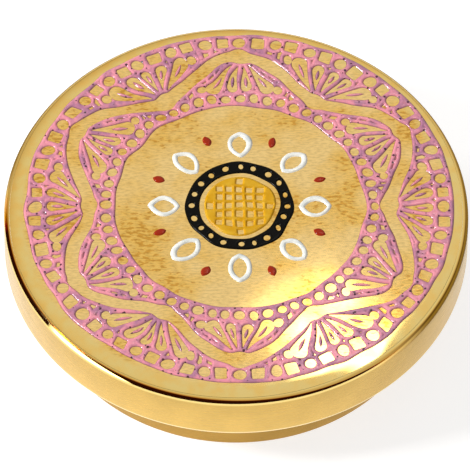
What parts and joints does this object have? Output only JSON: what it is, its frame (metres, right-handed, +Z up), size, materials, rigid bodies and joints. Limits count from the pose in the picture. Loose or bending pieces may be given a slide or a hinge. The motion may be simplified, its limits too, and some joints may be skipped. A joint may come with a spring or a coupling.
{
  "type": "incense box",
  "caption": "Low round brass incense box: a drum with a lift-off, overhanging lid whose flat top is etched and filled with coloured enamel.",
  "frame": {"origin": "centre of the ring on which the drum stands, on the table", "axes": "+Z up, along the axis of the box and the way the lid lifts; -Y faces the viewer of the picture"},
  "size_m": [0.1, 0.1, 0.0271],
  "materials": {
    "lid_brass": "polished",
    "skirt_brass": "satin",
    "drum_brass": "satin",
    "pink_enamel": "gloss",
    "black_enamel": "gloss",
    "yellow_enamel": "gloss",
    "white_enamel": "gloss",
    "red_enamel": "gloss"
  },
  "bodies": {
    "drum": {"base_wall": "drum_brass", "base_floor": "drum_brass"},
    "lid": {"lid_plate": "lid_brass", "lid_skirt": "skirt_brass", "lid_collar": "skirt_brass", "pink_enamel": "pink_enamel", "black_enamel": "black_enamel", "yellow_enamel": "yellow_enamel", "white_enamel": "white_enamel", "red_enamel": "red_enamel"}
  },
  "joints": [
    {"name": "lid_lift", "type": "slide", "parent": "drum", "child": "lid", "axis": [0, 0, 1], "range_m": [0, 0.04]}
  ]
}
